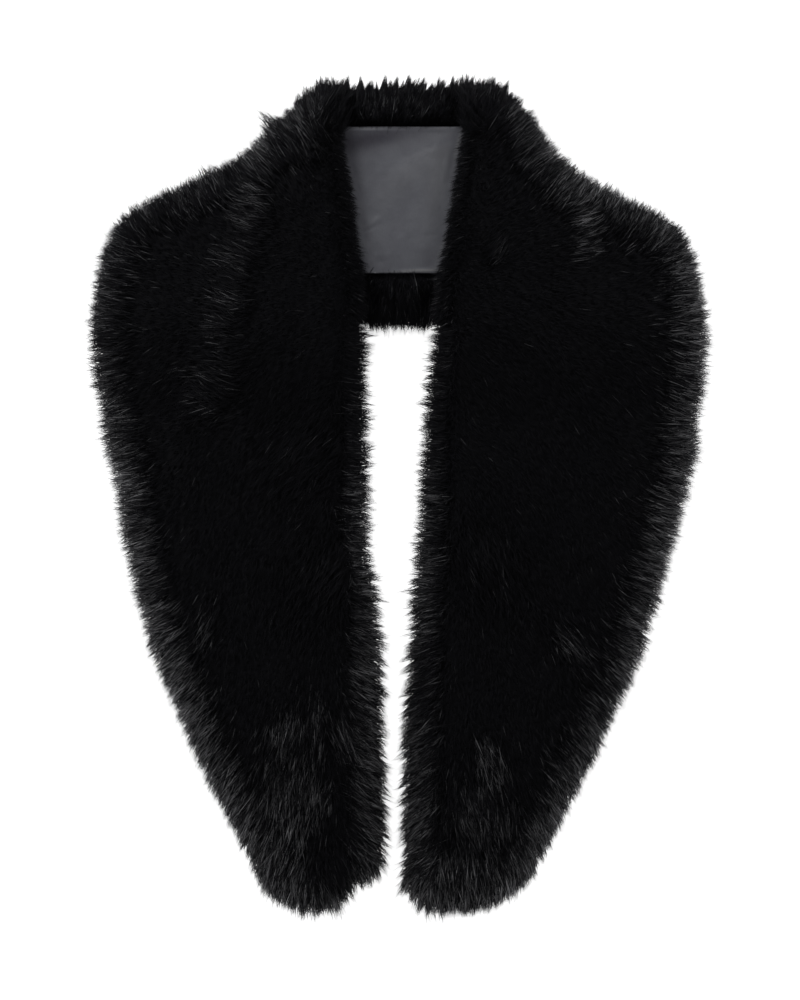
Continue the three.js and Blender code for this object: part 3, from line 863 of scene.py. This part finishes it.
def scattered_points(graph):
    """A point on the scalp for each strand's tip."""
    density = graph.value("Density") * graph.stored_number("cover")
    sockets = {"Mesh": graph.given["Geometry"], "Density": density, "Seed": graph.given["Seed"]}
    spread = graph.node("GeometryNodeDistributePointsOnFaces", {"distribute_method": "RANDOM"}, sockets)
    return spread.outputs["Points"]


def reach_past(graph, tufts):
    """How far a strand reaches past the scalp: by tuft, by chance, in the fringe and along the neck."""
    at_peak = graph.stored_number("peak")
    uneven = (tufts.tone - 0.5) * (graph.stored_number("gather") * CELL_REACH + at_peak * PEAK_UNEVEN)
    uneven = uneven + graph.chance(-TIP_SCATTER, TIP_SCATTER, "tips")
    longer = FRINGE_REACH * graph.chance(0, 1, "fringe") ** FRINGE_CURVE
    fringe = graph.stored_number("fringe") * (FRINGE_CORE + longer)
    peak = at_peak * (PEAK_SHARE - tufts.distance) * PEAK_HEIGHT
    return graph.value("Lift") + uneven + fringe + peak


def strand_tone(graph, tufts):
    """How light each strand is painted: dark, or more or less shining where its scalp gives it a painted
    highlight.
    """
    light = graph.stored_number("light")
    least, more = TUFT_SHINE
    shining = light.between(0.0, *SHINE_RAMP) * (least + more * tufts.tone) + STRAY_SHINE
    shines = graph.chance(0, 1, "shine").below(shining)
    glint = GLINT["least"] + (1 - GLINT["least"]) * graph.chance(0, 1, "glint") ** GLINT["curve"]
    strength = STRENGTH["base"] + STRENGTH["by light"] * light.clamped()
    tone = shines * graph.value("Shade") * glint * strength + SPECKLE * tufts.tone
    return tone.clamped()


def strands_on(graph, points):
    """A real strand on each point, along the aim that is stored there and as long as it."""
    aim = graph.stored_vector("aim")
    along = graph.vector("FunctionNodeAlignRotationToVector", {"axis": "Z"}, {"Vector": aim})
    settings = {"axis": "X", "pivot_axis": "Z"}
    sockets = {"Rotation": along, "Vector": graph.stored_vector("up")}
    turned = graph.vector("FunctionNodeAlignRotationToVector", settings, sockets)
    width = graph.value("Width") * graph.chance(*WIDTHS, "width")
    size = graph.vector("ShaderNodeCombineXYZ", None, {"X": width, "Y": width, "Z": aim.length()})
    template = graph.node("GeometryNodeObjectInfo", None, {"Object": graph.given["Strand"]})
    sockets = {
        "Points": points,
        "Instance": template.outputs["Geometry"],
        "Rotation": turned,
        "Scale": size,
    }
    planted = graph.node("GeometryNodeInstanceOnPoints", None, sockets).outputs[0]
    return graph.node("GeometryNodeRealizeInstances", None, {"Geometry": planted}).outputs[0]


def laid_by_tone(graph, strands):
    """Moves each strand's UV into a column of its tone."""
    column = graph.stored_number("shade") * (1 - 1 / BAKE_COLUMNS)
    shift = graph.vector("ShaderNodeCombineXYZ", None, {"X": column})
    laid = graph.stored_vector("OFBake").times((1 / BAKE_COLUMNS, 1, 0)) + shift
    return graph.store(strands, "OFBake", "FLOAT2", "CORNER", laid)


def new_coat_tree():
    """A node group with a coat's inputs and its output."""
    tree = bpy.data.node_groups.new("coat", "GeometryNodeTree")
    tree.interface.new_socket("Geometry", in_out="INPUT", socket_type="NodeSocketGeometry")
    for kind, names in COAT_INPUTS.items():
        for name in names:
            tree.interface.new_socket(name, in_out="INPUT", socket_type=kind)
    tree.interface.new_socket("Geometry", in_out="OUTPUT", socket_type="NodeSocketGeometry")
    return tree


def coat_tree():
    """Geometry nodes that grow strands whose tips reach the surface they are given."""
    tree = new_coat_tree()
    graph = CoatGraph(tree)
    place = graph.vector("GeometryNodeInputPosition")
    trim = graph.stored_number("trim")
    standing = graph.stored_vector("up") * graph.stored_number("stand")
    way = (graph.stored_vector("nap") + standing + graph.scatter() * graph.value("Stray")).unit()
    length = graph.value("Length") * graph.chance(*LENGTHS, "length") * trim
    tufts = Tufts(graph, place)
    gathered = graph.value("Clump") * graph.stored_number("gather") * trim
    pull = (tufts.centre - place).times(PULL_SHAPE) * gathered
    aim = way * (length + reach_past(graph, tufts) * trim) + pull
    points = graph.store(scattered_points(graph), "aim", "FLOAT_VECTOR", "POINT", aim)
    points = graph.store(points, "shade", "FLOAT", "POINT", strand_tone(graph, tufts))
    sockets = {"Geometry": points, "Position": place - way * length}
    rooted = graph.node("GeometryNodeSetPosition", None, sockets).outputs[0]
    strands = laid_by_tone(graph, strands_on(graph, rooted))
    sockets = {"Geometry": strands, "Material": graph.given["Material"]}
    painted = graph.node("GeometryNodeSetMaterial", None, sockets).outputs[0]
    end = graph.node("NodeGroupOutput")
    graph.feed(end.inputs[0], painted)
    return tree


def growing_area(mesh):
    """The area of a scalp, counted by how much of the pile it grows."""
    cover = np.zeros(len(mesh.vertices))
    mesh.attributes["cover"].data.foreach_get("value", cover)
    return sum(p.area * cover[list(p.vertices)].mean() for p in mesh.polygons)


def press_on_table(mesh):
    """Flattens what would reach below the table against it."""
    places = corners(mesh)
    low = places[:, 2] < TABLE_EASE
    places[low, 2] = TABLE_EASE * np.exp(places[low, 2] / TABLE_EASE - 1)
    mesh.vertices.foreach_set("co", places.ravel())
    mesh.update()


def grow(name, base, tree, template, finish, coat, strands, seed):
    """One coat of fur as a plain mesh."""
    made = bpy.data.objects.new(name, base.data)
    bpy.context.scene.collection.objects.link(made)
    modifier = made.modifiers.new("coat", "NODES")
    modifier.node_group = tree
    density = strands / growing_area(base.data)
    values = {"Strand": template, "Material": finish, "Density": density, "Seed": seed, **coat}
    for item in tree.interface.items_tree:
        if item.in_out == "INPUT" and item.name in values:
            modifier[item.identifier] = values[item.name]
    graph = bpy.context.evaluated_depsgraph_get()
    mesh = bpy.data.meshes.new_from_object(made.evaluated_get(graph))
    made.modifiers.clear()
    made.data = mesh
    mesh.name = name
    for spare in ("aim", "nap", "up", "cover", "light", "stand", "trim", "gather", "fringe", "peak"):
        if spare in mesh.attributes:
            mesh.attributes.remove(mesh.attributes[spare])
    press_on_table(mesh)
    mesh.shade_smooth()
    return made


def material(name):
    made = bpy.data.materials.new(name)
    made.use_nodes = True
    made.node_tree.nodes.clear()
    graph = Graph(made.node_tree)
    surface = graph.node("ShaderNodeBsdfPrincipled")
    graph.node("ShaderNodeOutputMaterial", None, {"Surface": surface.outputs[0]})
    return made, graph, surface.inputs


def strand_material():
    made, graph, surface = material("fur")
    kind = "ShaderNodeAttribute"
    shade = graph.number(kind, {"attribute_name": "shade"}, None, 2)
    along = graph.number(kind, {"attribute_name": "along"}, None, 2)
    # darker towards the root, a painted shade deep in the pile; a strand's shade mixes in the painted
    # highlight
    depth = along.between(0.2, 1.0, 0.2, 1.0)
    dark = graph.mix_colours(depth, COLOURS["dark root"], COLOURS["dark tip"])
    light = graph.mix_colours(depth, COLOURS["shining root"], COLOURS["shining tip"])
    graph.feed(surface["Base Color"], graph.mix_colours(shade, dark, light))
    graph.feed(surface["Roughness"], shade.between(0.0, 1.0, 0.6, 0.45))
    surface["Specular IOR Level"].default_value = 0.05
    return made


def body_material():
    made, graph, surface = material("fur body")
    where = graph.node("ShaderNodeTexCoord").outputs["Object"]
    tufts = graph.number("ShaderNodeTexNoise", None, {"Vector": where, "Scale": 220.0, "Detail": 3.0})
    mixed = graph.mix_colours(tufts, COLOURS["matted low"], COLOURS["matted high"])
    graph.feed(surface["Base Color"], mixed)
    graph.feed(surface["Roughness"], tufts.between(0.2, 0.8, 0.95, 0.8))
    bump = graph.node("ShaderNodeBump", None, {"Strength": 0.6, "Distance": 0.002, "Height": tufts})
    graph.feed(surface["Normal"], bump.outputs[0])
    surface["Specular IOR Level"].default_value = 0.1
    return made


def satin_material():
    made, graph, surface = material("satin")
    where = Arrow(graph, graph.node("ShaderNodeTexCoord").outputs["Object"])
    cloudy = graph.number("ShaderNodeTexNoise", None, {"Vector": where, "Scale": 90.0, "Detail": 3.0})
    crumple = graph.number("ShaderNodeTexNoise", None, {"Vector": where, "Scale": 130.0, "Detail": 3.0})
    threads = where.times((1500, 260, 1))
    weave = graph.number("ShaderNodeTexNoise", None, {"Vector": threads, "Scale": 1.0, "Detail": 1.0})
    sheen = graph.number("ShaderNodeAttribute", {"attribute_name": "sheen"}, None, 2)
    soft = graph.mix_colours(cloudy.between(0.3, 0.7), COLOURS["satin"], COLOURS["light satin"])
    worn = graph.mix_colours(weave * 0.3, soft, COLOURS["worn satin"])
    # painted shade below zero, darker and rougher, and a painted highlight above zero
    shade_mask = (-1.0 * sheen).clamped()
    shaded = graph.mix_colours(shade_mask, worn, COLOURS["shaded satin"])
    graph.feed(surface["Base Color"], graph.mix_colours(sheen.clamped(), shaded, COLOURS["satin highlight"]))
    graph.feed(surface["Roughness"], weave.between(0.3, 0.7, 0.42, 0.52) + shade_mask * 0.4)
    creased = graph.node("ShaderNodeBump", None, {"Strength": 0.4, "Distance": 0.0012, "Height": crumple})
    sockets = {"Strength": 0.15, "Distance": 0.0002, "Height": weave, "Normal": creased.outputs[0]}
    graph.feed(surface["Normal"], graph.node("ShaderNodeBump", None, sockets).outputs[0])
    surface["Sheen Weight"].default_value = 0.1
    return made


def refine_between_fronts(mesh):
    """Cuts the facets finer where the satin shows."""
    work = bmesh.new()
    work.from_mesh(mesh)
    low, high = LINING_SHOWN
    shown = [face for face in work.faces
             if face.normal.z > 0.5 and low < face.calc_center_median().x / MM < high]
    edges = {edge for face in shown for edge in face.edges}
    bmesh.ops.subdivide_edges(work, edges=list(edges), cuts=LINING_GRAIN, use_grid_fill=True)
    bmesh.ops.triangulate(work, faces=[face for face in work.faces if len(face.verts) > 3])
    work.to_mesh(mesh)
    work.free()


def lining(source, finish):
    """The satin panel: its CAD solid, smoothed, with its finer creases."""
    made = plain_copy("lining", source)
    refine_between_fronts(made.data)
    modifier = made.modifiers.new("soft", "SMOOTH")
    modifier.use_x = False
    modifier.use_y = False
    modifier.factor = LINING_SMOOTHING["factor"]
    modifier.iterations = LINING_SMOOTHING["iterations"]
    settle(made)
    places = corners(made.data)
    raised = sum(crease["height"] * blob(places, crease, crease["reach"], crease["width"])
                 for crease in LINING_CREASES)
    # painted highlights and painted shade on the satin, kept on its vertices for its colour
    sheen = sum(spot["light"] * blob(places, spot, spot["reach"], spot["width"])
                for spot in LINING_LIGHT_AND_SHADE)
    keep_numbers(made.data, "sheen", sheen)
    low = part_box(LINING)[0].z
    places[:, 2] = np.maximum(places[:, 2] + raised * MM, low)
    made.data.vertices.foreach_set("co", places.ravel())
    made.data.update()
    made.data.materials.append(finish)
    made.data.shade_smooth()
    return made


def build_fur(nodes):
    """Every fur panel: its body and its coats of strands."""
    tree = coat_tree()
    template = strand()
    coat_finish = strand_material()
    body_finish = body_material()
    fronts = [nodes[name] for name in FRONTS]
    bodies = {}
    coats = {}
    for seed, name in enumerate([*FRONTS, BACK]):
        side = FRONTS.get(name, 0)
        body = fur_body(name + "_body", nodes[name])
        body.data.materials.clear()
        body.data.materials.append(body_finish)
        base = scalp(name + "_scalp", nodes[name], [] if side else fronts, side)
        grown = []
        for part, (coat_name, coat) in enumerate(COATS.items()):
            made = grow(f"{name}_{coat_name}", base, tree, template, coat_finish, coat,
                        STRANDS[name], 20 * seed + part)
            grown.append(made)
        bpy.data.objects.remove(base)
        bodies[name] = body
        coats[name] = grown
    bpy.data.objects.remove(template)
    return bodies, coats


def declare(bodies, coats, satin):
    """Hangs every piece from the root body and hides the CAD nodes that the pieces stand in for."""
    for name, body in bodies.items():
        for piece in [body, *coats[name]]:
            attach(piece, "root")
        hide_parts(name)
    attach(satin, "root")
    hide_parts(LINING)


def add_camera():
    data = bpy.data.cameras.new("camera")
    data.sensor_width = SENSOR
    data.lens = SENSOR * CAMERA_HEIGHT / PICTURE_HEIGHT
    camera = bpy.data.objects.new("camera", data)
    camera.location = (*PICTURE_CENTRE, CAMERA_HEIGHT)
    bpy.context.scene.collection.objects.link(camera)
    bpy.context.scene.camera = camera


def add_softbox(name, place, size, power):
    data = bpy.data.lights.new(name, "AREA")
    data.shape = "RECTANGLE"
    data.size, data.size_y = size
    data.energy = power
    lamp = bpy.data.objects.new(name, data)
    lamp.location = place
    lamp.rotation_mode = "QUATERNION"
    lamp.rotation_quaternion = (-Vector(place)).to_track_quat("-Z", "Y")
    bpy.context.scene.collection.objects.link(lamp)


def add_table():
    mesh = bpy.data.meshes.new("table")
    reach = TABLE["reach"]
    outline = [(-reach, -reach, 0), (reach, -reach, 0), (reach, reach, 0), (-reach, reach, 0)]
    mesh.from_pydata(outline, [], [(0, 1, 2, 3)])
    floor = bpy.data.objects.new("table", mesh)
    floor.location.z = -TABLE["drop"]
    bpy.context.scene.collection.objects.link(floor)
    made, _, surface = material("table")
    surface["Base Color"].default_value = COLOURS["table"]
    surface["Roughness"].default_value = TABLE["roughness"]
    surface["Emission Color"].default_value = COLOURS["white"]
    surface["Emission Strength"].default_value = TABLE["glow"]
    mesh.materials.append(made)


def add_light():
    world = bpy.data.worlds.new("room")
    world.use_nodes = True
    back = world.node_tree.nodes["Background"]
    back.inputs["Color"].default_value = COLOURS["white"]
    back.inputs["Strength"].default_value = ROOM_LIGHT
    bpy.context.scene.world = world
    for name, box in SOFTBOXES.items():
        add_softbox(name, box["place"], box["size"], box["power"])
    bpy.context.scene.view_settings.view_transform = "Standard"


def main():
    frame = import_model()
    nodes = frame["nodes"]
    noise.seed_set(NOISE_SEED)
    bodies, coats = build_fur(nodes)
    satin = lining(nodes[LINING], satin_material())
    declare(bodies, coats, satin)
    add_camera()
    add_table()
    add_light()


main()
